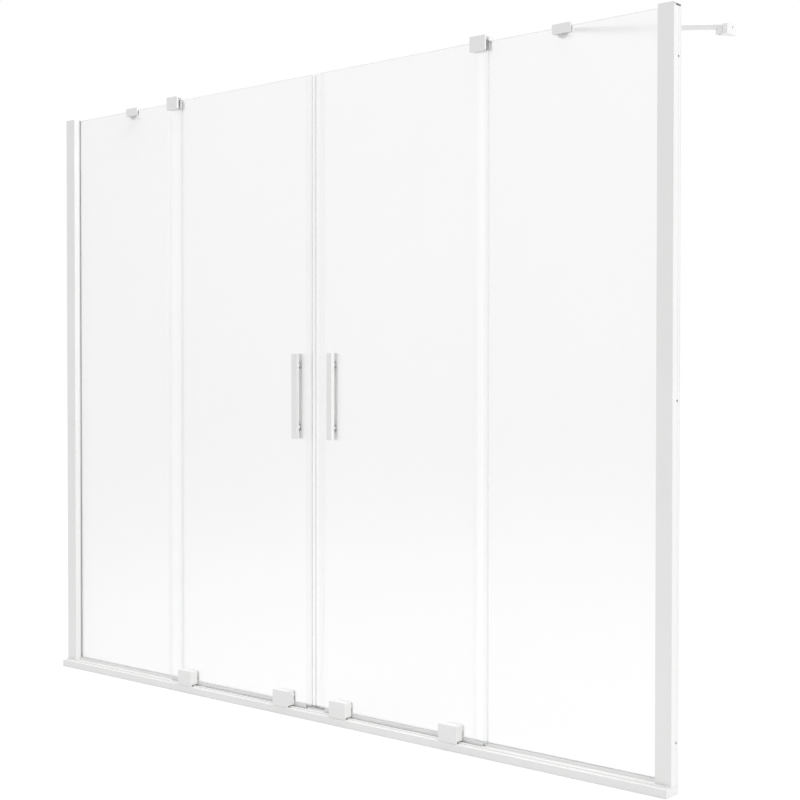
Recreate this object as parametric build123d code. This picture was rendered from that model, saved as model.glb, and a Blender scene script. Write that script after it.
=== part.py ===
from build123d import *
import math
import os

os.makedirs("parts", exist_ok=True)

# Overall size of the fitted screen
screen_width = 1850.0
screen_height = 1500.0

# Bottom rail
rail_depth = 47.2
rail_height = 18.0
rail_wall = 1.8
rail_corner = 1.4
rail_cap = 2.5
rail_plug = 9.0
rail_plug_gap = 0.1
rail_plug_wall = 1.7
chamber_radius = 0.8
rib_width = 4.0
rib_height = 3.0
fin_height = 7.0
fin_thickness = 1.3
sealant_groove_width = 6.0
sealant_groove_depth = 0.7

# Depth of each plane behind the one in front of it, room side first
profile_setback = 17.7
door_setback = 8.5
panel_gap = 4.5
glass_thickness = 5.0

# Wall profiles
profile_width = 34.4
profile_wall = 1.8
profile_corner = 1.3
profile_cap = 2.0
channel_gap = 0.25
channel_wall = 2.2
channel_leg = 1.8
channel_room = 1.3
channel_lip = 1.0
channel_top_gap = 4.0
cap_plug_gap = 0.6
cap_plug_length = 6.0
cap_bevel = 0.6
wall_hole_r = 2.75
wall_hole_margin = 100.0
wall_hole_setback = 19.5
drill_groove = 0.8
pocket_depth = 17.0
pocket_wall = 1.6

# Glass and its gaskets
gasket_side = 1.6
gasket_web = 1.2
gasket_lip = 1.0
gasket_drop = 0.5
glass_top_drop = 3.0
glass_in_profile = 14.4
left_door_width = 515.0
right_door_width = 493.4
panel_overlap = 43.3
arris = 0.5

# Edge trim on the free edge of each fixed panel
trim_leg = 1.0
trim_web = 1.5
trim_reach = 8.5
trim_radius = 0.8
trim_guide_gap = 1.5

# Top guide bracket
guide_width = 40.5
guide_inset = 4.2
guide_front = 4.7
guide_panel_gap = 0.5
guide_rear_gap = 4.2
guide_rear = 7.5
guide_rise = 12.5
guide_front_height = 34.0
guide_mid_height = 32.5
guide_rear_height = 30.5
guide_bridge = 5.0
guide_saddle_gap = 0.2
guide_radius = 3.0
guide_bevel = 1.4
guide_screw_pitch = 22.0
guide_screw_lift = 9.5
liner_glass_front = 0.4
liner_glass_rear = 0.3
liner_rear = 0.5
liner_inset = 1.0
liner_head = 2.0
liner_lead_in = 1.0
clamp_plate = 3.0
clamp_plate_margin = 3.25
clamp_plate_height = 15.0
clamp_plate_corner = 2.0

# Set screws of the brackets and clamps
set_screw_r = 2.5
screw_clear = 0.05
set_screw_length = 8.4
set_screw_socket = 1.5
set_screw_socket_depth = 2.5

# Stabiliser clamp, bar and wall flange
bar_clamp_from_wall = 258.5
bar_clamp_width = 44.0
bar_clamp_rise = 7.5
bar_clamp_height = 20.5
bar_clamp_front = 3.1
bar_clamp_rear = 5.0
bar_clamp_radius = 2.0
bar_clamp_bevel = 0.7
bar_clamp_gap = 0.2
clamp_screw_margin = 4.4
bar_disc_r = 14.0
bar_disc_lift = 4.5
bar_disc_depth = 2.6
bar_disc_bevel = 1.0
bar_pivot_setback = 39.0
bar_landing_offset = 8.0
bar_size = 10.0
bar_drop = 7.0
bar_edge = 1.2
bar_end_gap = 0.8
flange_thickness = 10.0
flange_width = 38.0
flange_height = 21.0
flange_above_bar = 1.0
flange_setback = 235.0
flange_hole_offset = 5.5
flange_hole_r = 2.5
flange_sink = 2.2
flange_corner = 3.0
flange_bevel = 1.0
lug_thickness = 7.5
lug_gap = 0.1
lug_r = 8.0
lug_margin_front = 3.0
lug_margin_back = 9.0
bar_screw_r = 2.5
bar_screw_head_r = 4.5
bar_screw_head = 2.6
bar_screw_bevel = 0.5
bar_screw_grip = 7.0
bar_screw_room = 0.5
bar_screw_socket = 1.7
bar_screw_socket_depth = 1.6

# Sliding doors
door_glass_gap = 5.0
meeting_gap = 0.15
magnet_body = 11.2
magnet_body_extra = 1.5
magnet_web = 1.2
magnet_leg = 1.0
magnet_leg_reach = 17.5
magnet_strip_width = 7.0
magnet_strip_depth = 5.0
magnet_strip_gap = 0.1
magnet_strip_end = 1.0
magnet_corner = 1.2
overlap_web = 1.5
overlap_leg = 0.9
overlap_reach = 10.0
overlap_radius = 0.7
overlap_fin = 1.2
overlap_fin_tip = 0.9
overlap_fin_root = 2.2
overlap_fin_lean = 4.2
overlap_low_gap = 3.5
overlap_guide_gap = 5.5
fin_clear = 0.3
seal_end_gap = 0.2
bottom_leg = 0.9
bottom_leg_rise = 5.0
bottom_web = 1.2
bottom_fin = 0.8
bottom_fin_spread = 1.8
bottom_fin_clear = 0.4

# Roller carriages
carriage_width = 49.6
carriage_height = 33.5
carriage_rib_gap = 1.5
carriage_depth = 22.2
carriage_skirt = 3.2
carriage_skirt_gap = 0.3
carriage_corner = 2.0
carriage_bevel = 0.8
carriage_from_edge = 87.5
carriage_from_centre = 90.1
foot_width = 42.0
foot_height = 25.0
foot_lift = 6.5
foot_corner = 3.0
wheel_setback = 12.7
wheel_lip = 2.0
wheel_tread_r = 9.0
wheel_width = 9.0
wheel_groove_clear = 0.3
wheel_rim = 1.0
wheel_hub_r = 5.0
wheel_dish = 1.2
wheel_rest_gap = 0.03
wheel_room = 1.2
axle_r = 2.5
axle_clear = 0.05
axle_length = 19.5
axle_blind = 3.2
axle_end_gap = 0.2
axle_chamfer = 0.4
plate_thickness = 2.5
plate_width = 44.0
plate_corner = 4.0
plate_screw_pitch = 36.0
plate_screw_lift = 16.0
plate_screw_land = 0.15
plate_screw_socket = 1.6
plate_screw_socket_depth = 1.4
plate_screw_r = 2.5
plate_screw_head_r = 4.6
plate_screw_length = 21.0
glass_hole_r = 4.0

# Handles
handle_width = 15.4
handle_depth = 12.0
handle_length = 200.0
handle_mid_z = 751.0
handle_x = 55.7
handle_edge = 1.6
handle_standoff = 3.0
handle_bevel = 0.7
post_pitch = 145.0
post_washer_r = 7.0
post_sleeve_r = 5.9
post_hole_gap = 0.1
post_stud_r = 3.0
post_stud = 7.0
post_stud_room = 0.3

# Screws that join each wall profile to its channel
profile_screw_r = 2.0
profile_screw_head_r = 4.0
profile_screw_head = 2.2
profile_screw_side = 0.7
profile_screw_crown_r = 2.8
profile_screw_length = 5.0
profile_screw_in = 8.0
profile_screw_margin = 150.0
profile_screw_cross = 1.9
profile_screw_slot = 0.8
profile_screw_sink = 1.2

# Planes that follow from the values above
half_width = screen_width / 2
rail_front = -rail_depth / 2
rail_back = rail_depth / 2
profile_front = rail_front + profile_setback
profile_depth = rail_back - profile_front
door_front = profile_front + door_setback
door_back = door_front + glass_thickness
door_mid = (door_front + door_back) / 2
fixed_front = door_back + panel_gap
fixed_back = fixed_front + glass_thickness
fixed_mid = (fixed_front + fixed_back) / 2
profile_inner = half_width - profile_width
glass_top = screen_height - glass_top_drop
fixed_low = rail_height + gasket_web
fin_top = rail_height + fin_height
gasket_top = fin_top - gasket_drop
channel_reach = profile_width - pocket_depth - pocket_wall - channel_room
wall_hole_pitch = (screen_height - 2 * wall_hole_margin) / 2
profile_screw_pitch = (screen_height - 2 * profile_screw_margin) / 2
guide_top = glass_top + guide_rise
guide_front_low = guide_top - guide_front_height
guide_mid_low = guide_top - guide_mid_height
guide_rear_low = guide_top - guide_rear_height
guide_slot_front = profile_front + guide_front
guide_slot_back = door_back + liner_glass_rear + liner_rear
bar_clamp_x = half_width - bar_clamp_from_wall
bar_clamp_top = glass_top + bar_clamp_rise
bar_clamp_low = bar_clamp_top - bar_clamp_height
bar_low = glass_top - bar_drop
bar_lug_top = bar_low - lug_gap
bar_screw_seat = bar_lug_top - lug_thickness
flange_top = bar_low + bar_size + flange_above_bar
flange_low = flange_top - flange_height
flange_centre = profile_front + flange_setback
door_glass_low = rail_height + door_glass_gap
track_y = rail_front + wheel_setback
rib_top = rail_height + rib_height
axle_z = rib_top + wheel_rest_gap + wheel_tread_r
wheel_flange_r = wheel_tread_r + wheel_lip
wheel_groove_r = rib_width / 2 + wheel_groove_clear
carriage_low = rib_top + carriage_rib_gap
carriage_top = carriage_low + carriage_height
foot_low = carriage_low + foot_lift
foot_top = foot_low + foot_height
plate_screw_z = foot_low + plate_screw_lift
post_hole_r = post_sleeve_r + post_hole_gap
carriage_back = rail_front + carriage_depth
seat_half = glass_thickness / 2 + gasket_side
door_widths = {"left": left_door_width, "right": right_door_width}


def block(x0, x1, y0, y1, z0, z1):
    centre = Pos((x0 + x1) / 2, (y0 + y1) / 2, (z0 + z1) / 2)
    return centre * Box(x1 - x0, y1 - y0, z1 - z0)


def area(a0, a1, b0, b1):
    return Pos((a0 + a1) / 2, (b0 + b1) / 2) * Rectangle(a1 - a0, b1 - b0)


def soft_area(a0, a1, b0, b1, radius):
    return Pos((a0 + a1) / 2, (b0 + b1) / 2) * RectangleRounded(a1 - a0, b1 - b0, radius)


def upright(section, z0, z1):
    return extrude(Plane.XY.offset(z0) * section, z1 - z0)


def lengthwise(section, x0, x1):
    return extrude(Plane.YZ.offset(x0) * section, x1 - x0)


def crosswise(section, y0, y1):
    return extrude(Plane.XZ.offset(-y1) * section, y1 - y0)


def pin_y(radius, x, z, y0, y1):
    return Pos(x, (y0 + y1) / 2, z) * Rot(90, 0, 0) * Cylinder(radius, y1 - y0)


def pin_x(radius, y, z, x0, x1):
    return Pos((x0 + x1) / 2, y, z) * Rot(0, 90, 0) * Cylinder(radius, x1 - x0)


def pin_z(radius, x, y, z0, z1):
    return Pos(x, y, (z0 + z1) / 2) * Cylinder(radius, z1 - z0)


def turned(points, x, y, z, toward):
    # a turned piece whose axis runs along Y, its profile measured from y in the sense of toward
    profile = Plane.XZ * Polygon(*points, align=None)
    solid = revolve(profile, Axis.Z)
    angle = 90 if toward < 0 else -90
    return Pos(x, y, z) * Rot(angle, 0, 0) * solid


def soften_corners(section, radius, test):
    corners = [v for v in section.vertices() if test(v)]
    return fillet(corners, radius)


def save(name, shape):
    shape.label = name
    export_step(shape, "parts/" + name + ".step")


def sided(side, shape):
    return mirror(shape, about=Plane.YZ) if side == "left" else shape


def inward(u0, u1, v0, v1):
    # a rectangle measured inward from the wall plane and back from the profile front
    return area(half_width - u1, half_width - u0, profile_front + v0, profile_front + v1)


# Wall side pieces, drawn on the right and mirrored for the left

def wall_channel():
    v0 = profile_wall + channel_gap
    v1 = profile_depth - profile_wall - channel_gap
    section = inward(0, channel_wall, v0, v1)
    section += inward(0, channel_reach, v0, v0 + channel_leg)
    section += inward(0, channel_reach, v1 - channel_leg, v1)
    section += inward(channel_reach - channel_lip, channel_reach, v0, v0 + channel_leg + channel_lip)
    section += inward(channel_reach - channel_lip, channel_reach, v1 - channel_leg - channel_lip, v1)
    groove_y = profile_front + wall_hole_setback
    section -= Polygon(
        (half_width, groove_y - drill_groove),
        (half_width - drill_groove, groove_y),
        (half_width, groove_y + drill_groove),
        align=None,
    )
    body = upright(section, rail_height, screen_height - profile_cap - channel_top_gap)
    for level in range(3):
        z = wall_hole_margin + level * wall_hole_pitch
        body -= pin_x(wall_hole_r, groove_y, z, half_width - channel_wall - 1, half_width + 1)
    for level in range(3):
        z = profile_screw_margin + level * profile_screw_pitch
        body -= pin_y(profile_screw_r + screw_clear, half_width - profile_screw_in, z,
                      rail_back - profile_screw_length - channel_leg, rail_back + 1)
    return body


def profile_outline():
    outline = inward(0, profile_width, 0, profile_depth)
    return soften_corners(outline, profile_corner, lambda v: v.X < half_width - 1)


def glass_profile():
    section = profile_outline()
    section -= inward(-1, profile_width - profile_wall, profile_wall, profile_depth - profile_wall)
    pocket_mid = fixed_mid - profile_front
    outer = seat_half + pocket_wall
    section += inward(profile_width - pocket_depth - pocket_wall, profile_width - profile_wall / 2,
                      pocket_mid - outer, pocket_mid + outer)
    section -= inward(profile_width - pocket_depth, profile_width + 1,
                      pocket_mid - seat_half, pocket_mid + seat_half)
    body = upright(section, rail_height, screen_height - profile_cap)
    for level in range(3):
        z = profile_screw_margin + level * profile_screw_pitch
        body -= pin_y(profile_screw_r + screw_clear, half_width - profile_screw_in, z,
                      rail_back - profile_wall - channel_gap / 2, rail_back + 1)
    return body


def profile_top_cap():
    cap = upright(profile_outline(), screen_height - profile_cap, screen_height)
    rim = [e for e in cap.edges() if e.center().Z > screen_height - 0.01]
    cap = chamfer(rim, cap_bevel)
    lip_inside = profile_wall + channel_gap + channel_leg + channel_lip
    pocket_front = fixed_mid - profile_front - seat_half - pocket_wall
    plug = inward(channel_wall + cap_plug_gap, channel_reach - channel_lip - cap_plug_gap,
                  lip_inside + cap_plug_gap, pocket_front - cap_plug_gap)
    under = screen_height - profile_cap
    return cap + upright(plug, under - cap_plug_length, under)


def glass_gasket(door_width):
    free_edge = door_width - panel_overlap
    wall_edge = half_width - profile_width + glass_in_profile
    section = area(profile_inner - gasket_lip, wall_edge + gasket_web, fixed_mid - seat_half,
                   fixed_mid + seat_half)
    section -= area(profile_inner - gasket_lip - 1, wall_edge, fixed_front, fixed_back)
    body = upright(section, rail_height, glass_top)
    body += block(profile_inner - gasket_lip, wall_edge, fixed_front, fixed_back,
                  rail_height, fixed_low)
    foot = area(fixed_mid - seat_half, fixed_mid + seat_half, rail_height, gasket_top)
    foot -= area(fixed_front, fixed_back, fixed_low, gasket_top + 1)
    return body + lengthwise(foot, free_edge, profile_inner)


def fixed_glass(door_width):
    free_edge = door_width - panel_overlap
    wall_edge = half_width - profile_width + glass_in_profile
    body = block(free_edge, wall_edge, fixed_front, fixed_back, fixed_low, glass_top)
    rim = [e for e in body.edges() if e.center().Z > glass_top - 0.01 or e.center().X < free_edge + 0.01]
    rim = [e for e in rim if abs(e.center().Y - fixed_mid) > 1]
    return chamfer(rim, arris)


def edge_trim(door_width):
    free_edge = door_width - panel_overlap
    section = area(free_edge - trim_web, free_edge + trim_reach, fixed_front - trim_leg,
                   fixed_back + trim_leg)
    section = soften_corners(section, trim_radius, lambda v: v.X < free_edge)
    section -= area(free_edge, free_edge + trim_reach + 1, fixed_front, fixed_back)
    return upright(section, gasket_top, guide_front_low - trim_guide_gap)


# Bottom rail and its ends

def rail_outline():
    outline = area(rail_front, rail_back, 0, rail_height)
    return soften_corners(outline, rail_corner, lambda v: True)


def rail_chambers():
    webs = [rail_front + rail_wall, track_y, fixed_mid - seat_half - fin_thickness, rail_back - rail_wall]
    spaces = []
    for left, right in zip(webs[:-1], webs[1:]):
        a = left + (rail_wall / 2 if left != webs[0] else 0)
        b = right - (rail_wall / 2 if right != webs[-1] else 0)
        spaces.append((a, b))
    return spaces


def bottom_rail():
    section = rail_outline()
    section += area(track_y - rib_width / 2, track_y + rib_width / 2, rail_height - 1,
                    rib_top - rib_width / 2)
    section += Pos(track_y, rib_top - rib_width / 2) * Circle(rib_width / 2)
    spaces = rail_chambers()
    for a, b in spaces:
        section -= soft_area(a, b, rail_wall, rail_height - rail_wall, chamber_radius)
    for a, b in (spaces[0], spaces[-1]):
        mid = (a + b) / 2
        section -= area(mid - sealant_groove_width / 2, mid + sealant_groove_width / 2, -1,
                        sealant_groove_depth)
    end = half_width - rail_cap
    body = lengthwise(section, -end, end)
    fin_end = profile_inner - gasket_lip / 2
    for near, far in ((-seat_half - fin_thickness, -seat_half), (seat_half, seat_half + fin_thickness)):
        fin = area(fixed_mid + near, fixed_mid + far, rail_height - 1, fin_top)
        body += lengthwise(fin, -fin_end, fin_end)
    return body


def rail_end_cap():
    outline = rail_outline()
    cap = lengthwise(outline, half_width - rail_cap, half_width)
    rim = [e for e in cap.edges() if e.center().X > half_width - 0.01]
    cap = chamfer(rim, cap_bevel)
    hollow = rail_plug_gap + rail_plug_wall
    for a, b in rail_chambers():
        plug = soft_area(a + rail_plug_gap, b - rail_plug_gap, rail_wall + rail_plug_gap,
                         rail_height - rail_wall - rail_plug_gap, chamber_radius)
        plug -= soft_area(a + hollow, b - hollow, rail_wall + hollow, rail_height - rail_wall - hollow,
                          chamber_radius)
        cap += lengthwise(plug, half_width - rail_cap - rail_plug, half_width - rail_cap)
    return cap


# Top guide bracket, which clamps on the fixed panel and straddles the door

def guide_span(door_width):
    high = door_width - guide_inset
    return high - guide_width, high


def guide_bracket(door_width):
    x0, x1 = guide_span(door_width)
    rear0 = fixed_back + guide_rear_gap
    rear1 = rear0 + guide_rear
    under = guide_top - guide_bridge
    plate = soft_area(x0, x1, guide_front_low, guide_top, guide_radius)
    front = crosswise(plate, profile_front, guide_slot_front)
    rim = [e for e in front.edges() if abs(e.center().Y - profile_front) < 0.01]
    front = chamfer(rim, guide_bevel)
    bridge = block(x0, x1, guide_slot_front, rear1, under, guide_top)
    bridge = chamfer(bridge.edges().filter_by(Axis.Y).group_by(Axis.Z)[-1], guide_bevel)
    middle = block(x0, x1, guide_slot_back, fixed_front - guide_panel_gap, guide_mid_low, under)
    saddle = block(x0, x1, guide_slot_back, rear1, glass_top + guide_saddle_gap, under)
    heel = crosswise(soft_area(x0, x1, guide_rear_low, under + guide_radius, guide_radius), rear0, rear1)
    body = front + bridge + middle + saddle + heel
    for x in guide_screw_places(door_width):
        body -= pin_y(set_screw_r + screw_clear, x, guide_screw_z(), rear0 - 1, rear1 + 1)
    return body


def guide_screw_places(door_width):
    x0, x1 = guide_span(door_width)
    mid = (x0 + x1) / 2
    return mid - guide_screw_pitch / 2, mid + guide_screw_pitch / 2


def guide_screw_z():
    return guide_rear_low + guide_screw_lift


def guide_liner(door_width):
    x0, x1 = guide_span(door_width)
    near_face = door_front - liner_glass_front
    section = area(guide_slot_front, guide_slot_back, guide_mid_low, guide_top - guide_bridge)
    section -= area(near_face, door_back + liner_glass_rear, guide_mid_low - 1, glass_top + liner_head)
    body = lengthwise(section, x0 + liner_inset, x1 - liner_inset)
    mouths = body.edges().filter_by(Axis.Z).group_by(Axis.X)
    lead_in = [e for group in (mouths[0], mouths[-1]) for e in group
               if abs(e.center().Y - near_face) < 0.01]
    return chamfer(lead_in, liner_lead_in)


def guide_clamp_plate(door_width):
    x0, x1 = guide_span(door_width)
    z = guide_screw_z()
    outline = soft_area(x0 + clamp_plate_margin, x1 - clamp_plate_margin, z - clamp_plate_height / 2,
                        z + clamp_plate_height / 2, clamp_plate_corner)
    return crosswise(outline, fixed_back, fixed_back + clamp_plate)


def set_screw(x, z, y):
    screw = pin_y(set_screw_r, x, z, y, y + set_screw_length)
    socket = RegularPolygon(set_screw_socket, 6)
    end = y + set_screw_length
    return screw - crosswise(Pos(x, z) * socket, end - set_screw_socket_depth, end + 1)


# Stabiliser bar set, one each side

def bar_line():
    start = (bar_clamp_x, profile_front + bar_pivot_setback)
    reach_x = half_width - flange_thickness - bar_clamp_x
    reach_y = flange_setback - bar_landing_offset - bar_pivot_setback
    angle = math.degrees(math.atan2(reach_y, reach_x))
    return start, angle, math.hypot(reach_x, reach_y)


def along_bar(distance):
    start, angle, _ = bar_line()
    return (start[0] + distance * math.cos(math.radians(angle)),
            start[1] + distance * math.sin(math.radians(angle)))


def far_pivot():
    return along_bar(bar_line()[2] - bar_size)


def bar_clamp():
    x0 = bar_clamp_x - bar_clamp_width / 2
    x1 = bar_clamp_x + bar_clamp_width / 2
    near_face = fixed_front - bar_clamp_gap
    far_face = fixed_back + bar_clamp_gap
    rear_end = far_face + bar_clamp_rear
    disc_end = rear_end + bar_disc_depth
    plate = soft_area(x0, x1, bar_clamp_low, bar_clamp_top, bar_clamp_radius)
    body = crosswise(plate, near_face - bar_clamp_front, near_face)
    rim = [e for e in body.edges() if abs(e.center().Y - (near_face - bar_clamp_front)) < 0.01]
    body = chamfer(rim, bar_clamp_bevel)
    body += block(x0, x1, near_face - bar_clamp_gap, far_face + bar_clamp_gap, glass_top + bar_clamp_gap,
                  bar_clamp_top)
    body += crosswise(plate, far_face, rear_end)
    disc = pin_y(bar_disc_r, bar_clamp_x, bar_clamp_low + bar_disc_lift, far_face, disc_end)
    disc = chamfer(disc.edges().filter_by(GeomType.CIRCLE).group_by(Axis.Y)[-1], bar_disc_bevel)
    body += disc
    pivot_y = bar_line()[0][1]
    body += block(bar_clamp_x - lug_r, bar_clamp_x + lug_r, rear_end, pivot_y, bar_screw_seat, bar_lug_top)
    body += pin_z(lug_r, bar_clamp_x, pivot_y, bar_screw_seat, bar_lug_top)
    body -= pin_z(bar_screw_r + screw_clear, bar_clamp_x, pivot_y, bar_screw_seat - 1, bar_lug_top + 1)
    for x in clamp_screw_places():
        body -= pin_y(set_screw_r + screw_clear, x, clamp_screw_z(), fixed_back, disc_end + 1)
    return body


def clamp_screw_places():
    reach = bar_clamp_width / 2 - clamp_screw_margin
    return bar_clamp_x - reach, bar_clamp_x + reach


def clamp_screw_z():
    return (bar_clamp_low + glass_top) / 2


def stabiliser_bar():
    start, angle, length = bar_line()
    outline = area(0, length + bar_size, -bar_size / 2, bar_size / 2) + Circle(bar_size / 2)
    bar = upright(outline, bar_low, bar_low + bar_size)
    long_edges = [e for e in bar.edges().filter_by(Axis.X) if e.length > length / 2]
    bar = chamfer(long_edges, bar_edge)
    for along in (0, length - bar_size):
        bar -= pin_z(bar_screw_r + screw_clear, along, 0, bar_low - 1, bar_low + bar_screw_grip)
    placed = Pos(start[0], start[1], 0) * Rot(0, 0, angle) * bar
    face = half_width - flange_thickness - bar_end_gap
    return placed - block(face, half_width + bar_size, start[1], flange_centre + flange_width, bar_low - 1,
                          bar_low + bar_size + 1)


def wall_flange():
    hole_y = flange_centre + flange_hole_offset
    hole_z = bar_low + bar_size / 2
    y0 = flange_centre - flange_width / 2
    y1 = flange_centre + flange_width / 2
    plate = soft_area(y0, y1, flange_low, flange_top, flange_corner)
    inner = half_width - flange_thickness
    body = lengthwise(plate, inner, half_width)
    rim = [e for e in body.edges() if abs(e.center().X - inner) < 0.01]
    body = chamfer(rim, flange_bevel)
    px, py = far_pivot()
    tip = Pos(px, py) * Circle(lug_r)
    root = area(inner - 0.5, inner + 0.5, y0 + lug_margin_front, y1 - lug_margin_back)
    lug = make_hull(tip.edges() + root.edges())
    body += upright(lug, flange_low, bar_lug_top)
    body -= pin_z(bar_screw_r + screw_clear, px, py, flange_low - 1, bar_lug_top + 1)
    body -= pin_z(bar_screw_head_r + screw_clear, px, py, flange_low - 1, bar_screw_seat)
    body -= pin_x(flange_hole_r, hole_y, hole_z, inner - 1, half_width + 1)
    sink = Cone(flange_hole_r + flange_sink, flange_hole_r, flange_sink)
    return body - Pos(inner + flange_sink / 2, hole_y, hole_z) * Rot(0, 90, 0) * sink


def bar_screw(x, y):
    under = bar_screw_seat - bar_screw_head
    head = pin_z(bar_screw_head_r, x, y, under, bar_screw_seat)
    head = chamfer(head.edges().filter_by(GeomType.CIRCLE).group_by(Axis.Z)[0], bar_screw_bevel)
    shank_end = bar_low + bar_screw_grip - bar_screw_room
    screw = head + pin_z(bar_screw_r, x, y, bar_screw_seat - screw_clear, shank_end)
    socket = Pos(x, y) * RegularPolygon(bar_screw_socket, 6)
    return screw - upright(socket, under - 1, under + bar_screw_socket_depth)


# Roller carriages and doors

def carriage_centres(door_width):
    return {"inner": carriage_from_centre, "outer": door_width - carriage_from_edge}


def carriage(x):
    half = carriage_width / 2
    outline = area(x - half, x + half, rail_front, carriage_back)
    outline = soften_corners(outline, carriage_corner, lambda v: v.Y < rail_front + 1)
    body = upright(outline, carriage_low, carriage_top)
    body = chamfer([e for e in body.edges() if e.center().Z > carriage_top - 0.01], carriage_bevel)
    skirt = outline & area(x - half, x + half, rail_front - 1, rail_front + carriage_skirt)
    body += upright(skirt, rail_height + carriage_skirt_gap, carriage_low)
    foot = soft_area(x - foot_width / 2, x + foot_width / 2, foot_low, foot_top, foot_corner)
    body += crosswise(foot, carriage_back, door_front)
    room = wheel_flange_r + wheel_room
    half_wheel = wheel_width / 2 + wheel_room
    pocket = area(x - room, x + room, 0, axle_z) + Pos(x, axle_z) * Circle(room)
    body -= crosswise(pocket, track_y - half_wheel, track_y + half_wheel)
    body -= pin_y(axle_r + axle_clear, x, axle_z, rail_front + axle_blind, door_front + 1)
    for step in (-1, 1):
        body -= pin_y(plate_screw_r + screw_clear, x + step * plate_screw_pitch / 2, plate_screw_z,
                      door_back + plate_thickness - plate_screw_length - 1, door_front + 1)
    return body


def wheel(x):
    half = wheel_width / 2
    section = area(axle_r + axle_clear, wheel_flange_r, -half, half)
    section -= Pos(wheel_tread_r + wheel_groove_r, 0) * Circle(wheel_groove_r)
    section -= area(wheel_tread_r + wheel_lip / 2, wheel_flange_r + 1, -wheel_groove_r, wheel_groove_r)
    for end in (-1, 1):
        low, high = sorted((end * half, end * (half - wheel_dish)))
        section -= area(wheel_hub_r, wheel_tread_r - wheel_rim, low, high)
    solid = revolve(Plane.XZ * section, Axis.Z)
    return Pos(x, track_y, axle_z) * Rot(90, 0, 0) * solid


def axle(x):
    start = rail_front + axle_blind + axle_end_gap
    pin = pin_y(axle_r, x, axle_z, start, start + axle_length)
    return chamfer(pin.edges().filter_by(GeomType.CIRCLE), axle_chamfer)


def carriage_plate(x):
    outline = soft_area(x - plate_width / 2, x + plate_width / 2, foot_low, foot_top, plate_corner)
    plate = crosswise(outline, door_back, door_back + plate_thickness)
    for step in (-1, 1):
        plate -= plate_screw_shape(x + step * plate_screw_pitch / 2, screw_clear)
    return plate


def plate_screw_shape(x, extra):
    slope = plate_screw_head_r - plate_screw_r
    head_r = plate_screw_head_r + extra
    shank_r = plate_screw_r + extra
    points = ((0, 0), (head_r, 0), (head_r, plate_screw_land), (shank_r, slope + plate_screw_land),
              (shank_r, plate_screw_length), (0, plate_screw_length))
    return turned(points, x, door_back + plate_thickness, plate_screw_z, -1)


def plate_screw(x):
    screw = plate_screw_shape(x, 0)
    end = door_back + plate_thickness
    socket = Pos(x, plate_screw_z) * RegularPolygon(plate_screw_socket, 6)
    return screw - crosswise(socket, end - plate_screw_socket_depth, end + 1)


def door_glass(door_width):
    x0 = meeting_gap + magnet_body + magnet_web
    x1 = door_width - overlap_web
    body = block(x0, x1, door_front, door_back, door_glass_low, glass_top)
    body = chamfer(body.edges().filter_by(Axis.X).group_by(Axis.Z)[-1], arris)
    for end in (-1, 1):
        body -= pin_y(post_hole_r, handle_x, handle_mid_z + end * post_pitch / 2, door_front - 1,
                      door_back + 1)
    for centre in carriage_centres(door_width).values():
        for step in (-1, 1):
            body -= pin_y(glass_hole_r, centre + step * plate_screw_pitch / 2, plate_screw_z,
                          door_front - 1, door_back + 1)
    return body


def handle_bar(y0, y1):
    section = soft_area(handle_x - handle_width / 2, handle_x + handle_width / 2, y0, y1, handle_edge)
    bar = upright(section, handle_mid_z - handle_length / 2, handle_mid_z + handle_length / 2)
    ends = [e for e in bar.edges() if abs(abs(e.center().Z - handle_mid_z) - handle_length / 2) < 0.01]
    return chamfer(ends, handle_bevel)


def outer_handle():
    back = door_front - handle_standoff
    bar = handle_bar(back - handle_depth, back)
    for end in (-1, 1):
        bar -= pin_y(post_stud_r + screw_clear, handle_x, handle_mid_z + end * post_pitch / 2,
                     back - post_stud - post_stud_room, back + 1)
    return bar


def inner_handle():
    front = door_back + handle_standoff
    bar = handle_bar(front, front + handle_depth)
    for end in (-1, 1):
        bar -= pin_y(post_stud_r + screw_clear, handle_x, handle_mid_z + end * post_pitch / 2,
                     front - 1, front + post_stud + post_stud_room)
    return bar


def handle_post(z):
    back = door_front - handle_standoff
    front = door_back + handle_standoff
    post = pin_y(post_stud_r, handle_x, z, back - post_stud, front + post_stud)
    post += pin_y(post_sleeve_r, handle_x, z, door_front, door_back)
    for y0, y1 in ((back, door_front), (door_back, front)):
        post += pin_y(post_washer_r, handle_x, z, y0, y1)
    return post


def magnet_seal():
    glass_edge = meeting_gap + magnet_body + magnet_web
    y0 = door_front - magnet_body_extra
    y1 = door_back + magnet_body_extra
    section = soft_area(meeting_gap, meeting_gap + magnet_body, y0, y1, magnet_corner)
    section += area(meeting_gap + magnet_body - magnet_corner, glass_edge, door_front - magnet_leg,
                    door_back + magnet_leg)
    for y in (door_front - magnet_leg, door_back):
        section += area(glass_edge - magnet_web / 2, glass_edge + magnet_leg_reach, y, y + magnet_leg)
    mid = meeting_gap + magnet_body / 2
    room = magnet_strip_gap
    section -= area(mid - magnet_strip_width / 2 - room, mid + magnet_strip_width / 2 + room,
                    door_mid - magnet_strip_depth / 2 - room, door_mid + magnet_strip_depth / 2 + room)
    return upright(section, door_glass_low, glass_top)


def magnet_strip():
    mid = meeting_gap + magnet_body / 2
    return block(mid - magnet_strip_width / 2, mid + magnet_strip_width / 2,
                 door_mid - magnet_strip_depth / 2, door_mid + magnet_strip_depth / 2,
                 door_glass_low + magnet_strip_end, glass_top - magnet_strip_end)


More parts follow.
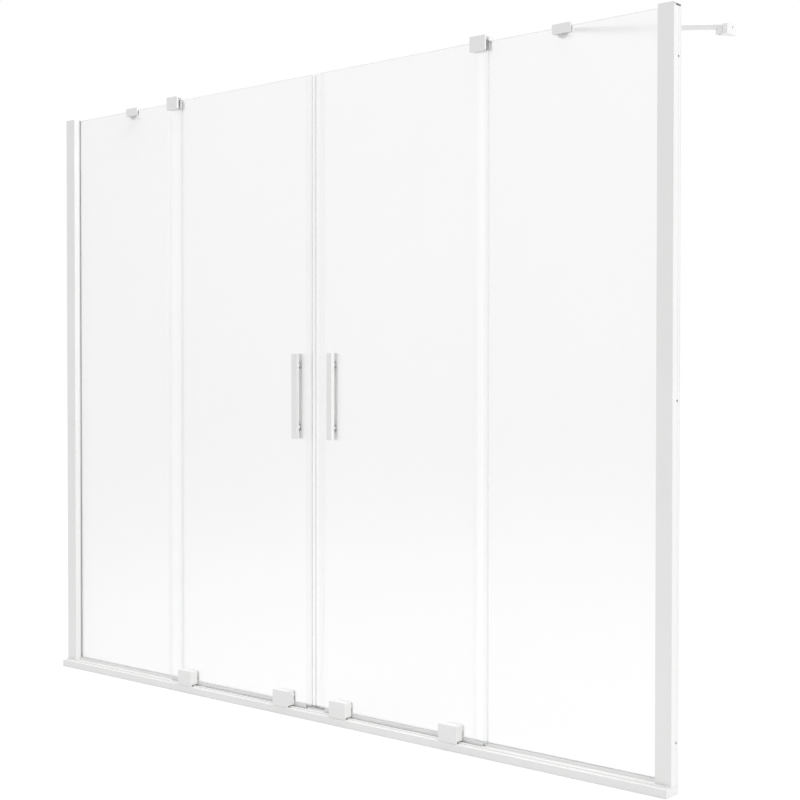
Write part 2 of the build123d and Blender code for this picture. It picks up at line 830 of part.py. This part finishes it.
def overlap_seal(door_width):
    glass_edge = door_width - overlap_web
    y0 = door_front - overlap_leg
    y1 = door_back + overlap_leg
    section = area(glass_edge - overlap_reach, door_width, y0, y1)
    section = soften_corners(section, overlap_radius, lambda v: v.X > glass_edge)
    section -= area(glass_edge - overlap_reach - 1, glass_edge, door_front, door_back)
    tip = fixed_front - fin_clear
    root = glass_edge - overlap_fin_root
    section += Polygon(
        (root - overlap_fin, y1 - overlap_leg / 3),
        (root, y1 - overlap_leg / 3),
        (root - overlap_fin_lean, tip),
        (root - overlap_fin_lean - overlap_fin_tip, tip),
        align=None,
    )
    return upright(section, fin_top + overlap_low_gap, guide_front_low - overlap_guide_gap)


def bottom_seal(door_width):
    x0 = meeting_gap + magnet_body + magnet_web + magnet_leg_reach + seal_end_gap
    x1 = door_width - overlap_web - overlap_reach - seal_end_gap
    y0 = door_front - bottom_leg
    y1 = door_back + bottom_leg
    section = area(y0, y1, door_glass_low - bottom_web, door_glass_low + bottom_leg_rise)
    section -= area(door_front, door_back, door_glass_low, door_glass_low + bottom_leg_rise + 1)
    low = rail_height + bottom_fin_clear
    for centre in (door_mid - bottom_fin_spread, door_mid + bottom_fin_spread):
        section += area(centre - bottom_fin / 2, centre + bottom_fin / 2, low, door_glass_low - bottom_web / 2)
    return lengthwise(section, x0, x1)


def profile_screw(z):
    x = half_width - profile_screw_in
    points = ((0, -profile_screw_head), (profile_screw_crown_r, -profile_screw_head),
              (profile_screw_head_r, -profile_screw_side), (profile_screw_head_r, 0), (profile_screw_r, 0),
              (profile_screw_r, profile_screw_length), (0, profile_screw_length))
    screw = turned(points, x, rail_back, z, -1)
    arm = profile_screw_cross
    half = profile_screw_slot / 2
    cross = area(x - arm, x + arm, z - half, z + half) + area(x - half, x + half, z - arm, z + arm)
    end = rail_back + profile_screw_head
    return screw - crosswise(cross, end - profile_screw_sink, end + 1)


save("bottom_rail", bottom_rail())

clamp_plates = []
set_screws = []
bar_screws = []
profile_screws = []

for side, door_width in door_widths.items():
    save(side + "_wall_channel", sided(side, wall_channel()))
    save(side + "_glass_profile", sided(side, glass_profile()))
    save(side + "_profile_cap", sided(side, profile_top_cap()))
    save(side + "_glass_gasket", sided(side, glass_gasket(door_width)))
    save(side + "_fixed_glass", sided(side, fixed_glass(door_width)))
    save(side + "_edge_trim", sided(side, edge_trim(door_width)))
    save(side + "_rail_cap", sided(side, rail_end_cap()))
    save(side + "_guide_bracket", sided(side, guide_bracket(door_width)))
    save(side + "_guide_liner", sided(side, guide_liner(door_width)))
    save(side + "_bar_clamp", sided(side, bar_clamp()))
    save(side + "_stabiliser_bar", sided(side, stabiliser_bar()))
    save(side + "_wall_flange", sided(side, wall_flange()))

    clamp_plates.append(sided(side, guide_clamp_plate(door_width)))
    for x in guide_screw_places(door_width):
        set_screws.append(sided(side, set_screw(x, guide_screw_z(), fixed_back + clamp_plate)))
    for x in clamp_screw_places():
        set_screws.append(sided(side, set_screw(x, clamp_screw_z(), fixed_back)))
    for px, py in (bar_line()[0], far_pivot()):
        bar_screws.append(sided(side, bar_screw(px, py)))
    for level in range(3):
        z = profile_screw_margin + level * profile_screw_pitch
        profile_screws.append(sided(side, profile_screw(z)))

    save(side + "_door_glass", sided(side, door_glass(door_width)))
    plates = []
    axles = []
    screws = []
    for place, x in carriage_centres(door_width).items():
        save(side + "_" + place + "_carriage", sided(side, carriage(x)))
        save(side + "_" + place + "_wheel", sided(side, wheel(x)))
        plates.append(sided(side, carriage_plate(x)))
        axles.append(sided(side, axle(x)))
        for step in (-1, 1):
            screws.append(sided(side, plate_screw(x + step * plate_screw_pitch / 2)))
    save(side + "_carriage_plates", Compound(plates))
    save(side + "_carriage_axles", Compound(axles))
    save(side + "_carriage_screws", Compound(screws))
    save(side + "_outer_handle", sided(side, outer_handle()))
    save(side + "_inner_handle", sided(side, inner_handle()))
    posts = [sided(side, handle_post(handle_mid_z + end * post_pitch / 2)) for end in (-1, 1)]
    save(side + "_handle_posts", Compound(posts))
    save(side + "_magnet_seal", sided(side, magnet_seal()))
    save(side + "_magnet_strip", sided(side, magnet_strip()))
    save(side + "_overlap_seal", sided(side, overlap_seal(door_width)))
    save(side + "_bottom_seal", sided(side, bottom_seal(door_width)))

save("guide_clamp_plates", Compound(clamp_plates))
save("set_screws", Compound(set_screws))
save("bar_screws", Compound(bar_screws))
save("profile_screws", Compound(profile_screws))
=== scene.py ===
import math

import bpy
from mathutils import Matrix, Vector

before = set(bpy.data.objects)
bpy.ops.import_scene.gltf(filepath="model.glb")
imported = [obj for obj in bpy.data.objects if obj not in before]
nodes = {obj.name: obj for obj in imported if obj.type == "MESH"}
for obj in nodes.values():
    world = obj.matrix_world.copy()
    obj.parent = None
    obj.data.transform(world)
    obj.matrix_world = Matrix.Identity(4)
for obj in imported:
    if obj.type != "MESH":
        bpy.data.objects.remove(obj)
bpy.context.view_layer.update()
print("frame loaded:", len(nodes), "nodes")

sides = ("left", "right")
places = ("inner", "outer")


# Small helpers for node trees

def addNode(tree, kind, **settings):
    node = tree.nodes.new(kind)
    for key, value in settings.items():
        setattr(node, key, value)
    return node


def join(tree, source, target):
    tree.links.new(source, target)


def startMaterial(name):
    material = bpy.data.materials.new(name)
    material.use_nodes = True
    tree = material.node_tree
    tree.nodes.clear()
    output = addNode(tree, "ShaderNodeOutputMaterial")
    shader = addNode(tree, "ShaderNodeBsdfPrincipled")
    join(tree, shader.outputs["BSDF"], output.inputs["Surface"])
    return material, tree, shader


def startGroup(name, inputs, outputs):
    group = bpy.data.node_groups.new(name, "ShaderNodeTree")
    for label, kind in inputs:
        group.interface.new_socket(label, in_out="INPUT", socket_type=kind)
    for label, kind in outputs:
        group.interface.new_socket(label, in_out="OUTPUT", socket_type=kind)
    entry = addNode(group, "NodeGroupInput")
    leave = addNode(group, "NodeGroupOutput")
    return group, entry, leave


def placeGroup(tree, group, point=None, **values):
    node = addNode(tree, "ShaderNodeGroup", node_tree=group)
    for label, value in values.items():
        node.inputs[label].default_value = value
    if point is not None:
        join(tree, point, node.inputs["Point"])
    return node


def objectPoint(tree):
    return addNode(tree, "ShaderNodeTexCoord").outputs["Object"]


def maths(tree, operation, *values):
    node = addNode(tree, "ShaderNodeMath", operation=operation)
    for socket, value in zip(node.inputs, values):
        if isinstance(value, (int, float)):
            socket.default_value = value
        else:
            join(tree, value, socket)
    return node.outputs[0]


def spread(tree, value, low, high):
    # takes a value of 0 to 1 to the range low to high
    node = addNode(tree, "ShaderNodeMapRange")
    join(tree, value, node.inputs["Value"])
    node.inputs["To Min"].default_value = low
    node.inputs["To Max"].default_value = high
    return node.outputs["Result"]


def blendColours(tree, mask, first, second):
    node = addNode(tree, "ShaderNodeMix", data_type="RGBA")
    join(tree, mask, node.inputs[0])
    for socket, value in ((node.inputs[6], first), (node.inputs[7], second)):
        if isinstance(value, tuple):
            socket.default_value = (*value, 1.0)
        else:
            join(tree, value, socket)
    return node.outputs[2]


def layOver(tree, factor, below, above):
    # shows above in place of below where the factor is one
    mix = addNode(tree, "ShaderNodeMixShader")
    join(tree, factor, mix.inputs[0])
    join(tree, below, mix.inputs[1])
    join(tree, above, mix.inputs[2])
    return mix.outputs[0]


# Effects that more than one finish uses

def makeGrain():
    # even fine grain, as of a sprayed or etched surface
    group, entry, leave = startGroup(
        "fineGrain",
        [("Point", "NodeSocketVector"), ("Scale", "NodeSocketFloat"), ("Detail", "NodeSocketFloat")],
        [("Height", "NodeSocketFloat")])
    noise = addNode(group, "ShaderNodeTexNoise")
    join(group, entry.outputs["Point"], noise.inputs["Vector"])
    join(group, entry.outputs["Scale"], noise.inputs["Scale"])
    join(group, entry.outputs["Detail"], noise.inputs["Detail"])
    join(group, noise.outputs[0], leave.inputs["Height"])
    return group


mottleLook = {"detail": 4.0, "roughness": 0.6, "low": 0.35, "high": 0.65}
evenStretch = (1, 1, 1)


def makeMottle():
    # broad soft patches, which a wiped surface keeps in its gloss
    group, entry, leave = startGroup(
        "wipedPatches",
        [("Point", "NodeSocketVector"), ("Scale", "NodeSocketFloat"), ("Stretch", "NodeSocketVector")],
        [("Mask", "NodeSocketFloat")])
    stretch = addNode(group, "ShaderNodeMapping")
    join(group, entry.outputs["Point"], stretch.inputs["Vector"])
    join(group, entry.outputs["Stretch"], stretch.inputs["Scale"])
    noise = addNode(group, "ShaderNodeTexNoise")
    noise.inputs["Detail"].default_value = mottleLook["detail"]
    noise.inputs["Roughness"].default_value = mottleLook["roughness"]
    join(group, stretch.outputs[0], noise.inputs["Vector"])
    join(group, entry.outputs["Scale"], noise.inputs["Scale"])
    ramp = addNode(group, "ShaderNodeMapRange")
    ramp.inputs["From Min"].default_value = mottleLook["low"]
    ramp.inputs["From Max"].default_value = mottleLook["high"]
    join(group, noise.outputs[0], ramp.inputs["Value"])
    join(group, ramp.outputs["Result"], leave.inputs["Mask"])
    return group


drawLook = {"scale": 1.0, "detail": 3.0}


def makeDrawLines():
    # faint lines along an extruded length
    group, entry, leave = startGroup(
        "drawLines",
        [("Point", "NodeSocketVector"), ("Stretch", "NodeSocketVector")],
        [("Height", "NodeSocketFloat")])
    stretch = addNode(group, "ShaderNodeMapping")
    join(group, entry.outputs["Point"], stretch.inputs["Vector"])
    join(group, entry.outputs["Stretch"], stretch.inputs["Scale"])
    noise = addNode(group, "ShaderNodeTexNoise")
    noise.inputs["Scale"].default_value = drawLook["scale"]
    noise.inputs["Detail"].default_value = drawLook["detail"]
    join(group, stretch.outputs[0], noise.inputs["Vector"])
    join(group, noise.outputs[0], leave.inputs["Height"])
    return group


edgeLook = {"samples": 6, "radius": 0.0006, "flat": 0.995, "sharp": 0.85}


def makeSoftEdges():
    # rounds sharp edges in the shading and marks where they are
    group, entry, leave = startGroup(
        "softEdges",
        [("Normal", "NodeSocketVector")],
        [("Edge", "NodeSocketFloat"), ("Rounded", "NodeSocketVector")])
    bevel = addNode(group, "ShaderNodeBevel", samples=edgeLook["samples"])
    bevel.inputs["Radius"].default_value = edgeLook["radius"]
    join(group, entry.outputs["Normal"], bevel.inputs["Normal"])
    flat = addNode(group, "ShaderNodeNewGeometry")
    dot = addNode(group, "ShaderNodeVectorMath", operation="DOT_PRODUCT")
    join(group, bevel.outputs[0], dot.inputs[0])
    join(group, flat.outputs["Normal"], dot.inputs[1])
    mask = addNode(group, "ShaderNodeMapRange")
    mask.inputs["From Min"].default_value = edgeLook["flat"]
    mask.inputs["From Max"].default_value = edgeLook["sharp"]
    join(group, dot.outputs["Value"], mask.inputs["Value"])
    join(group, mask.outputs["Result"], leave.inputs["Edge"])
    join(group, bevel.outputs[0], leave.inputs["Rounded"])
    return group


grain = makeGrain()
mottle = makeMottle()
drawLines = makeDrawLines()
softEdges = makeSoftEdges()


def addBump(tree, shader, heights, distance, strength=1.0):
    # adds several heights up, each with its share, and feeds them to the shader
    total = None
    for height, share in heights:
        part = maths(tree, "MULTIPLY", height, share)
        total = part if total is None else maths(tree, "ADD", total, part)
    bump = addNode(tree, "ShaderNodeBump")
    bump.inputs["Strength"].default_value = strength
    bump.inputs["Distance"].default_value = distance
    join(tree, total, bump.inputs["Height"])
    edges = placeGroup(tree, softEdges)
    join(tree, bump.outputs[0], edges.inputs["Normal"])
    join(tree, edges.outputs["Rounded"], shader.inputs["Normal"])
    return edges.outputs["Edge"]


# Powder-coated aluminium

coat = {
    "colour": (0.872, 0.873, 0.868),
    "colourShade": (0.852, 0.853, 0.848),
    # painted shade: a darker pair of coat colours for the inner handles, standing in for the shade they sit
    # in behind the glass
    "paintedShadeTone": (0.80, 0.80, 0.797),
    "paintedShadeToneShade": (0.78, 0.78, 0.777),
    "edgeColour": (0.91, 0.91, 0.905),
    "roughness": (0.36, 0.48),
    "peelScale": 900.0,
    "peelDetail": 1.5,
    "peelShare": 0.75,
    "lineShare": 0.25,
    "lineAlong": 1.5,
    "lineAcross": 500.0,
    "depth": 0.000014,
    "patchScale": 5.0,
}


def makeCoat(name, along, tone="colour"):
    material, tree, shader = startMaterial(name)
    point = objectPoint(tree)
    peel = placeGroup(tree, grain, point, Scale=coat["peelScale"], Detail=coat["peelDetail"])
    stretch = tuple(coat["lineAlong"] if axis == along else coat["lineAcross"] for axis in "XYZ")
    lines = placeGroup(tree, drawLines, point, Stretch=stretch)
    patches = placeGroup(tree, mottle, point, Scale=coat["patchScale"], Stretch=evenStretch)
    heights = [(peel.outputs["Height"], coat["peelShare"]), (lines.outputs["Height"], coat["lineShare"])]
    edge = addBump(tree, shader, heights, coat["depth"])
    # the tone picks the colour pair; the darker pair for the inner handles is painted shade
    body = blendColours(tree, patches.outputs["Mask"], coat[tone + "Shade"], coat[tone])
    worn = maths(tree, "MULTIPLY", edge, patches.outputs["Mask"])
    join(tree, blendColours(tree, worn, body, coat["edgeColour"]), shader.inputs["Base Color"])
    join(tree, spread(tree, patches.outputs["Mask"], *coat["roughness"]), shader.inputs["Roughness"])
    return material


# Acid-etched glass

etched = {
    "colour": (0.998, 1.0, 0.999),
    "cutColour": (0.93, 0.95, 0.945),
    "clearTint": (0.96, 0.965, 0.96),
    "roughness": (0.38, 0.46),
    "cutRoughness": 0.1,
    "cutBelow": 0.9,
    "etchScale": 1500.0,
    "etchDetail": 2.0,
    "etchDepth": 0.00002,
    "etchStrength": 0.6,
    "patchScale": 3.0,
    "patchStretch": (1, 1, 0.4),
    "ior": 1.22,
}


def makeEtchedGlass():
    material, tree, shader = startMaterial("frostedGlass")
    point = objectPoint(tree)
    facing = addNode(tree, "ShaderNodeSeparateXYZ")
    join(tree, addNode(tree, "ShaderNodeNewGeometry").outputs["True Normal"], facing.inputs[0])
    # a cut edge is where the glass doesn't face along Y
    turned = maths(tree, "ABSOLUTE", facing.outputs["Y"])
    cut = maths(tree, "LESS_THAN", turned, etched["cutBelow"])
    etch = placeGroup(tree, grain, point, Scale=etched["etchScale"], Detail=etched["etchDetail"])
    patches = placeGroup(tree, mottle, point, Scale=etched["patchScale"], Stretch=etched["patchStretch"])
    addBump(tree, shader, [(etch.outputs["Height"], 1.0)], etched["etchDepth"], etched["etchStrength"])
    join(tree, blendColours(tree, cut, etched["colour"], etched["cutColour"]), shader.inputs["Base Color"])
    face = spread(tree, patches.outputs["Mask"], *etched["roughness"])
    rough = addNode(tree, "ShaderNodeMix", data_type="FLOAT")
    join(tree, cut, rough.inputs[0])
    join(tree, face, rough.inputs[2])
    rough.inputs[3].default_value = etched["cutRoughness"]
    join(tree, rough.outputs[0], shader.inputs["Roughness"])
    shader.inputs["IOR"].default_value = etched["ior"]
    shader.inputs["Transmission Weight"].default_value = 1.0
    letLightThrough(tree, shader, etched["clearTint"])
    return material


def letLightThrough(tree, shader, tint):
    # light on its way from a lamp or off a dull surface goes straight through, so nothing behind goes dark
    path = addNode(tree, "ShaderNodeLightPath")
    clear = addNode(tree, "ShaderNodeBsdfTransparent")
    clear.inputs["Color"].default_value = (*tint, 1)
    target = shader.outputs["BSDF"].links[0].to_socket
    surface = shader.outputs["BSDF"]
    for ray in ("Is Diffuse Ray", "Is Shadow Ray"):
        surface = layOver(tree, path.outputs[ray], surface, clear.outputs[0])
    join(tree, surface, target)


# Soft seal strips, nearly clear on the upright edges and milky under the doors

sealStrip = {
    "colour": (0.93, 0.935, 0.93),
    "shade": (0.88, 0.89, 0.885),
    "roughness": (0.25, 0.4),
    "lineStretch": (700.0, 700.0, 2.0),
    "lineDepth": 0.00008,
    "patchScale": 9.0,
    "patchStretch": (1, 1, 0.3),
    "clearAlpha": 0.035,
    "milkyAlpha": 0.85,
}


def makeSealStrip(name, alpha):
    material, tree, shader = startMaterial(name)
    point = objectPoint(tree)
    lines = placeGroup(tree, drawLines, point, Stretch=sealStrip["lineStretch"])
    patches = placeGroup(tree, mottle, point, Scale=sealStrip["patchScale"],
                         Stretch=sealStrip["patchStretch"])
    addBump(tree, shader, [(lines.outputs["Height"], 1.0)], sealStrip["lineDepth"])
    colour = blendColours(tree, patches.outputs["Mask"], sealStrip["shade"], sealStrip["colour"])
    join(tree, colour, shader.inputs["Base Color"])
    join(tree, spread(tree, patches.outputs["Mask"], *sealStrip["roughness"]), shader.inputs["Roughness"])
    shader.inputs["Alpha"].default_value = sealStrip[alpha]
    return material


# Plain solid finishes: mouldings, rubber and metal

mouldingDetail = 3.0


def makeMoulding(name, look):
    material, tree, shader = startMaterial(name)
    point = objectPoint(tree)
    texture = placeGroup(tree, grain, point, Scale=look["grainScale"], Detail=mouldingDetail)
    stretch = look.get("stretch", evenStretch)
    patches = placeGroup(tree, mottle, point, Scale=look["patchScale"], Stretch=stretch)
    edge = addBump(tree, shader, [(texture.outputs["Height"], 1.0)], look["grainDepth"])
    body = blendColours(tree, patches.outputs["Mask"], look["shade"], look["colour"])
    worn = maths(tree, "MULTIPLY", edge, look["wear"])
    join(tree, blendColours(tree, worn, body, look["edgeColour"]), shader.inputs["Base Color"])
    join(tree, spread(tree, patches.outputs["Mask"], *look["roughness"]), shader.inputs["Roughness"])
    shader.inputs["Metallic"].default_value = look.get("metallic", 0.0)
    shader.inputs["Alpha"].default_value = look.get("alpha", 1.0)
    return material


capLook = {
    "colour": (0.84, 0.842, 0.835), "shade": (0.81, 0.812, 0.806), "edgeColour": (0.88, 0.88, 0.875),
    "wear": 0.5, "roughness": (0.3, 0.42), "grainScale": 1600.0, "grainDepth": 0.00004, "patchScale": 30.0,
}
gasketLook = {
    "colour": (0.74, 0.74, 0.75), "shade": (0.68, 0.68, 0.69), "edgeColour": (0.78, 0.78, 0.78),
    "wear": 0.4, "roughness": (0.6, 0.8), "grainScale": 1200.0, "grainDepth": 0.00006, "patchScale": 14.0,
    "stretch": (1, 1, 0.2),
}
linerLook = {
    "colour": (0.6, 0.6, 0.605), "shade": (0.54, 0.54, 0.545), "edgeColour": (0.66, 0.66, 0.66),
    "wear": 0.6, "roughness": (0.42, 0.6), "grainScale": 1800.0, "grainDepth": 0.00004, "patchScale": 60.0,
}
wheelLook = {
    "colour": (0.78, 0.77, 0.74), "shade": (0.70, 0.69, 0.66), "edgeColour": (0.62, 0.61, 0.58),
    "wear": 0.7, "roughness": (0.38, 0.55), "grainScale": 1500.0, "grainDepth": 0.00005, "patchScale": 90.0,
}
steelLook = {
    "colour": (0.62, 0.62, 0.63), "shade": (0.5, 0.5, 0.51), "edgeColour": (0.8, 0.8, 0.8),
    "wear": 0.6, "roughness": (0.2, 0.36), "grainScale": 2200.0, "grainDepth": 0.00003, "patchScale": 120.0,
    "metallic": 1.0,
}
magnetLook = {
    "colour": (0.86, 0.86, 0.855), "shade": (0.83, 0.83, 0.825), "edgeColour": (0.88, 0.88, 0.88),
    "wear": 0.5, "roughness": (0.55, 0.7), "grainScale": 1500.0, "grainDepth": 0.00002, "patchScale": 20.0,
    "alpha": 0.08,
}

finishes = {
    "coatX": makeCoat("whiteCoatAlongX", "X"),
    "coatZ": makeCoat("whiteCoatAlongZ", "Z"),
    # coat with painted shade, darker to stand in for the shade behind the glass
    "paintedShadeCoatZ": makeCoat("paintedShadeCoatAlongZ", "Z", "paintedShadeTone"),
    "glass": makeEtchedGlass(),
    "strip": makeSealStrip("clearSeal", "clearAlpha"),
    "milky": makeSealStrip("milkySeal", "milkyAlpha"),
    "cap": makeMoulding("whiteMoulding", capLook),
    "gasket": makeMoulding("panelGasket", gasketLook),
    "liner": makeMoulding("guideLiner", linerLook),
    "wheel": makeMoulding("wheelPlastic", wheelLook),
    "steel": makeMoulding("brushedSteel", steelLook),
    "magnet": makeMoulding("magnetStrip", magnetLook),
}
print("finishes made:", len(finishes))

# Which finish each piece of one side takes
sideFinish = {
    "wall_channel": "coatZ", "glass_profile": "coatZ", "profile_cap": "cap", "glass_gasket": "gasket",
    "fixed_glass": "glass", "edge_trim": "strip", "rail_cap": "cap", "guide_bracket": "coatX",
    "guide_liner": "liner", "bar_clamp": "coatX", "stabiliser_bar": "coatX", "wall_flange": "coatX",
    "door_glass": "glass", "carriage_plates": "coatX", "carriage_axles": "steel", "carriage_screws": "steel",
    # the inner handles take the coat with painted shade, darker for the shade behind the glass
    "outer_handle": "coatZ", "inner_handle": "paintedShadeCoatZ", "handle_posts": "steel", "magnet_seal": "strip",
    "magnet_strip": "magnet", "overlap_seal": "strip", "bottom_seal": "milky",
}
sharedFinish = {
    "bottom_rail": "coatX", "guide_clamp_plates": "coatX", "set_screws": "steel", "bar_screws": "steel",
    "profile_screws": "steel",
}


def dress(name, finish):
    for slot in nodes[name].material_slots:
        slot.material = finishes[finish]


for name, finish in sharedFinish.items():
    dress(name, finish)
for side in sides:
    for name, finish in sideFinish.items():
        dress(side + "_" + name, finish)
    for place in places:
        dress(side + "_" + place + "_carriage", "coatX")
        dress(side + "_" + place + "_wheel", "wheel")
print("pieces dressed")


# Floor, world and lamps

floorLook = {"size": 60.0, "colour": (0.86, 0.86, 0.86), "share": 0.24, "lift": 0.84, "liftInGlass": 0.739}
worldLook = {"light": 0.755, "background": 1.0, "backgroundInGlass": 0.937}
lamps = {
    "rightSoftbox": {"place": (5.4, 2.6, 2.5), "size": 3.2, "power": 76.0},
    "topSoftbox": {"place": (0.4, 0.3, 4.8), "size": 3.4, "power": 100.0},
}
lampAim = Vector((0, 0, 0.75))
white = (1, 1, 1, 1)

# A second pane looks as bright as the first, so what is seen through both is lifted
panes = {"gain": 0.03, "oneCrossed": 2.0, "twoCrossed": 4.0}


def throughPanes(tree, path, level):
    crossings = maths(tree, "MAXIMUM", path.outputs["Transmission Depth"], panes["oneCrossed"])
    crossings = maths(tree, "MINIMUM", crossings, panes["twoCrossed"])
    extra = maths(tree, "SUBTRACT", crossings, panes["oneCrossed"])
    return maths(tree, "ADD", maths(tree, "MULTIPLY", extra, panes["gain"]), level)


def seenStraight(tree, path):
    return maths(tree, "MAXIMUM", path.outputs["Is Camera Ray"], path.outputs["Is Glossy Ray"])


def makeFloor():
    half = floorLook["size"] / 2
    corners = [(-half, -half, 0), (half, -half, 0), (half, half, 0), (-half, half, 0)]
    mesh = bpy.data.meshes.new("floor")
    mesh.from_pydata(corners, [], [(0, 1, 2, 3)])
    floor = bpy.data.objects.new("floor", mesh)
    bpy.context.scene.collection.objects.link(floor)
    material = bpy.data.materials.new("paleFloor")
    material.use_nodes = True
    tree = material.node_tree
    tree.nodes.clear()
    output = addNode(tree, "ShaderNodeOutputMaterial")
    path = addNode(tree, "ShaderNodeLightPath")
    plain = addNode(tree, "ShaderNodeBsdfDiffuse")
    plain.inputs["Color"].default_value = (*floorLook["colour"], 1)
    part = addNode(tree, "ShaderNodeBsdfDiffuse")
    part.inputs["Color"].default_value = (floorLook["share"],) * 3 + (1,)
    surface = plain.outputs[0]
    for seen, lift in ((seenStraight(tree, path), "lift"),
                       (path.outputs["Is Transmission Ray"], "liftInGlass")):
        glow = addNode(tree, "ShaderNodeEmission")
        glow.inputs["Strength"].default_value = floorLook[lift]
        if lift == "liftInGlass":
            join(tree, throughPanes(tree, path, floorLook[lift]), glow.inputs["Strength"])
        lifted = addNode(tree, "ShaderNodeAddShader")
        join(tree, part.outputs[0], lifted.inputs[0])
        join(tree, glow.outputs[0], lifted.inputs[1])
        surface = layOver(tree, seen, surface, lifted.outputs[0])
    join(tree, surface, output.inputs["Surface"])
    mesh.materials.append(material)


def makeWorld():
    world = bpy.data.worlds.new("studio")
    bpy.context.scene.world = world
    world.use_nodes = True
    tree = world.node_tree
    tree.nodes.clear()
    output = addNode(tree, "ShaderNodeOutputWorld")
    path = addNode(tree, "ShaderNodeLightPath")
    light = addNode(tree, "ShaderNodeBackground")
    light.inputs["Color"].default_value = white
    light.inputs["Strength"].default_value = worldLook["light"]
    surface = light.outputs[0]
    for seen, level in ((seenStraight(tree, path), "background"),
                        (path.outputs["Is Transmission Ray"], "backgroundInGlass")):
        backdrop = addNode(tree, "ShaderNodeBackground")
        backdrop.inputs["Color"].default_value = white
        backdrop.inputs["Strength"].default_value = worldLook[level]
        if level == "backgroundInGlass":
            join(tree, throughPanes(tree, path, worldLook[level]), backdrop.inputs["Strength"])
        surface = layOver(tree, seen, surface, backdrop.outputs[0])
    join(tree, surface, output.inputs["Surface"])


def makeLamps():
    for name, look in lamps.items():
        data = bpy.data.lights.new(name, "AREA")
        data.shape = "DISK"
        data.size = look["size"]
        data.energy = look["power"]
        lamp = bpy.data.objects.new(name, data)
        lamp.location = look["place"]
        lamp.rotation_euler = (lampAim - Vector(look["place"])).to_track_quat("-Z", "Y").to_euler()
        bpy.context.scene.collection.objects.link(lamp)


makeFloor()
makeWorld()
makeLamps()
print("stage set")

# Camera, as fitted to the photograph in its frame of 800 by 800 pixels
photoWidth = 800.0
view = {
    "place": (2.2223, -2.3869, 0.7915),
    "turn": 41.66,
    "tilt": 0.967,
    "focalPixels": 1403.9,
    "centrePixel": (346.2, 402.57),
    "sensor": 36.0,
    "clipEnd": 60.0,
}


def makeCamera():
    data = bpy.data.cameras.new("camera")
    data.sensor_width = view["sensor"]
    data.lens = view["focalPixels"] / photoWidth * view["sensor"]
    data.shift_x = (photoWidth / 2 - view["centrePixel"][0]) / photoWidth
    data.shift_y = (view["centrePixel"][1] - photoWidth / 2) / photoWidth
    data.clip_end = view["clipEnd"]
    camera = bpy.data.objects.new("camera", data)
    camera.location = view["place"]
    camera.rotation_euler = (math.radians(90 - view["tilt"]), 0, math.radians(view["turn"]))
    bpy.context.scene.collection.objects.link(camera)
    bpy.context.scene.camera = camera


makeCamera()
bpy.context.scene.view_settings.view_transform = "Standard"
print("camera set")
